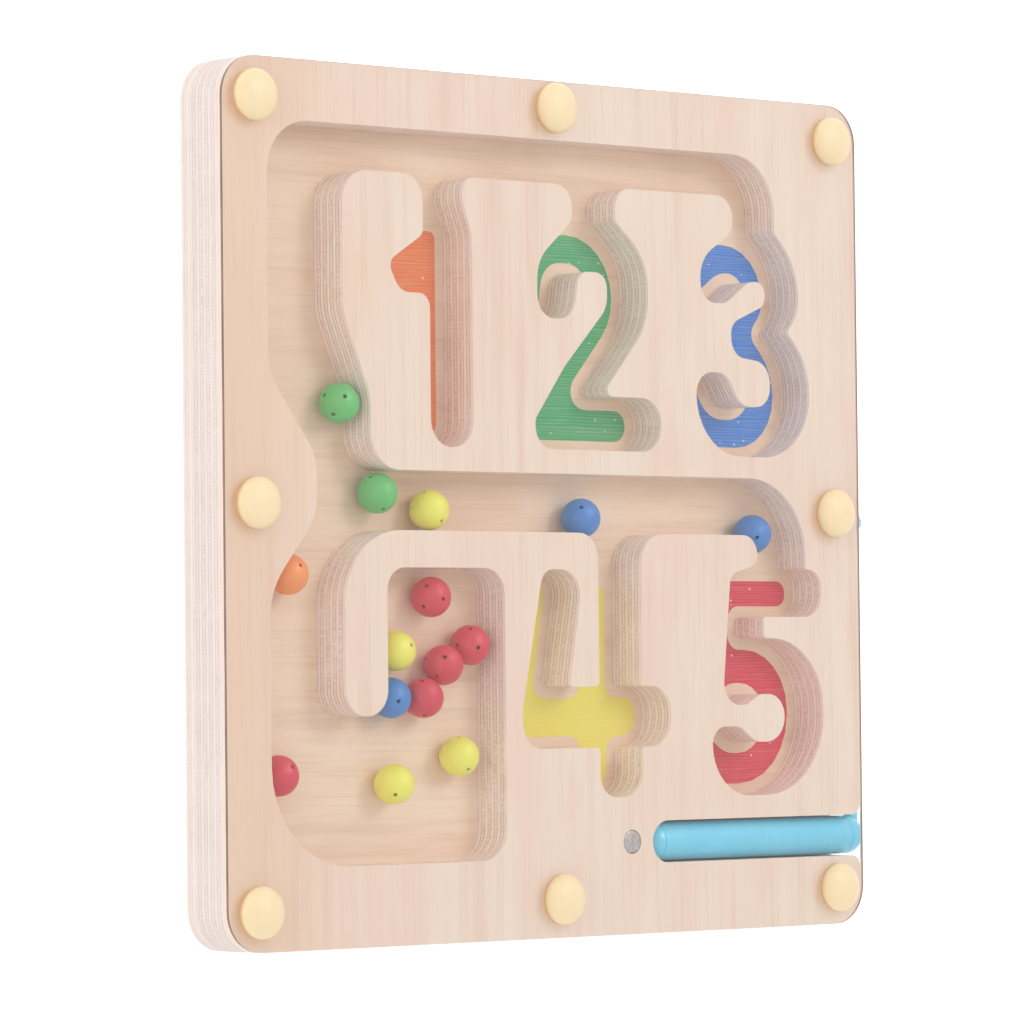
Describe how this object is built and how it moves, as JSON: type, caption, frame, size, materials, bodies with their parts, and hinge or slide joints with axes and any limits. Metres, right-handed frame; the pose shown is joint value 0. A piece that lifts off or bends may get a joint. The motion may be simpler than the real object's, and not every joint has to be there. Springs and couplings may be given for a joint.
{
  "type": "magnetic number maze toy",
  "caption": "Square wooden maze board with number-shaped ball channels under a clear cover, coloured rolling balls, and a magnetic wand on a cord parked in a slot at one side.",
  "frame": {"origin": "middle of the back panel's flat underside, with the board lying on its back", "axes": "+Z out of the clear cover, away from the surface it lies on; +X towards the side where the wand parks; +Y towards the side of the numbers one, two and three"},
  "size_m": [0.3182, 0.3, 0.0278],
  "materials": {
    "back_ply": "pale plywood sheet with a satin lacquer, plies showing at the edges",
    "maze_ply": "pale poplar plywood with a satin lacquer, plies showing at the edges and channel walls",
    "cream_plastic": "moulded cream plastic, satin",
    "steel": "plain satin steel",
    "magnet_steel": "nickel-plated magnet",
    "wand_plastic": "moulded sky-blue plastic, smooth",
    "cord_yarn": "braided synthetic cord",
    "ball_orange": "moulded plastic",
    "ball_green": "moulded plastic",
    "ball_blue": "moulded plastic",
    "ball_yellow": "moulded plastic",
    "ball_red": "moulded plastic",
    "print_one": "thin printed ink on the wood, grain showing through",
    "print_two": "thin printed ink on the wood, grain showing through",
    "print_three": "thin printed ink on the wood, grain showing through",
    "print_four": "thin printed ink on the wood, grain showing through",
    "print_five": "thin printed ink on the wood, grain showing through",
    "clear_sheet": "clear polished acrylic sheet"
  },
  "bodies": {
    "frame": {"back_panel": "back_ply", "maze_board": "maze_ply", "clear_cover": "clear_sheet", "rivet_top_left": "cream_plastic", "rivet_top_middle": "cream_plastic", "rivet_top_right": "cream_plastic", "rivet_middle_left": "cream_plastic", "rivet_middle_right": "cream_plastic", "rivet_bottom_left": "cream_plastic", "rivet_bottom_middle": "cream_plastic", "rivet_bottom_right": "cream_plastic", "print_one": "print_one", "print_two": "print_two", "print_three": "print_three", "print_four": "print_four", "print_five": "print_five", "keeper_disc": "steel", "cord_anchor": "wand_plastic", "tether_cord": "cord_yarn"},
    "orange_1": {"ball_orange_1": "ball_orange", "core_orange_1": "steel"},
    "green_1": {"ball_green_1": "ball_green", "core_green_1": "steel"},
    "green_2": {"ball_green_2": "ball_green", "core_green_2": "steel"},
    "blue_1": {"ball_blue_1": "ball_blue", "core_blue_1": "steel"},
    "blue_2": {"ball_blue_2": "ball_blue", "core_blue_2": "steel"},
    "blue_3": {"ball_blue_3": "ball_blue", "core_blue_3": "steel"},
    "yellow_1": {"ball_yellow_1": "ball_yellow", "core_yellow_1": "steel"},
    "yellow_2": {"ball_yellow_2": "ball_yellow", "core_yellow_2": "steel"},
    "yellow_3": {"ball_yellow_3": "ball_yellow", "core_yellow_3": "steel"},
    "yellow_4": {"ball_yellow_4": "ball_yellow", "core_yellow_4": "steel"},
    "red_1": {"ball_red_1": "ball_red", "core_red_1": "steel"},
    "red_2": {"ball_red_2": "ball_red", "core_red_2": "steel"},
    "red_3": {"ball_red_3": "ball_red", "core_red_3": "steel"},
    "red_4": {"ball_red_4": "ball_red", "core_red_4": "steel"},
    "red_5": {"ball_red_5": "ball_red", "core_red_5": "steel"},
    "wand": {"wand_barrel": "wand_plastic", "wand_tip": "wand_plastic", "wand_magnet": "magnet_steel", "wand_tail": "wand_plastic"}
  },
  "joints": [
    {"name": "orange_1_roll", "type": "slide", "parent": "frame", "child": "orange_1", "axis": [0, 1, 0], "range_m": [-0.045, 0]},
    {"name": "green_1_roll", "type": "slide", "parent": "frame", "child": "green_1", "axis": [0, 1, 0], "range_m": [-0.02, 0]},
    {"name": "green_2_roll", "type": "slide", "parent": "frame", "child": "green_2", "axis": [1, 0, 0], "range_m": [-0.004, 0.008]},
    {"name": "blue_1_roll", "type": "slide", "parent": "frame", "child": "blue_1", "axis": [1, 0, 0], "range_m": [0, 0.02]},
    {"name": "blue_2_roll", "type": "slide", "parent": "frame", "child": "blue_2", "axis": [0.53, -0.848, 0], "range_m": [-0.01, 0.02]},
    {"name": "blue_3_roll", "type": "slide", "parent": "frame", "child": "blue_3", "axis": [0, 1, 0], "range_m": [-0.014, 0]},
    {"name": "yellow_1_roll", "type": "slide", "parent": "frame", "child": "yellow_1", "axis": [1, 0, 0], "range_m": [0, 0.045]},
    {"name": "yellow_2_roll", "type": "slide", "parent": "frame", "child": "yellow_2", "axis": [1, 0, 0], "range_m": [-0.0025, 0.002]},
    {"name": "yellow_3_roll", "type": "slide", "parent": "frame", "child": "yellow_3", "axis": [0, 1, 0], "range_m": [-0.028, 0.012]},
    {"name": "yellow_4_roll", "type": "slide", "parent": "frame", "child": "yellow_4", "axis": [0, 1, 0], "range_m": [-0.018, 0]},
    {"name": "red_1_roll", "type": "slide", "parent": "frame", "child": "red_1", "axis": [1, 0, 0], "range_m": [-0.018, 0]},
    {"name": "red_2_roll", "type": "slide", "parent": "frame", "child": "red_2", "axis": [0, 1, 0], "range_m": [0, 0.017]},
    {"name": "red_3_roll", "type": "slide", "parent": "frame", "child": "red_3", "axis": [-0.6402, 0.7682, 0], "range_m": [0, 0.006]},
    {"name": "red_4_roll", "type": "slide", "parent": "frame", "child": "red_4", "axis": [0, 1, 0], "range_m": [-0.014, 0]},
    {"name": "red_5_roll", "type": "slide", "parent": "frame", "child": "red_5", "axis": [1, 0, 0], "range_m": [0, 0.03]},
    {"name": "wand_slide", "type": "slide", "parent": "frame", "child": "wand", "axis": [1, 0, 0], "range_m": [0, 0.105]}
  ]
}
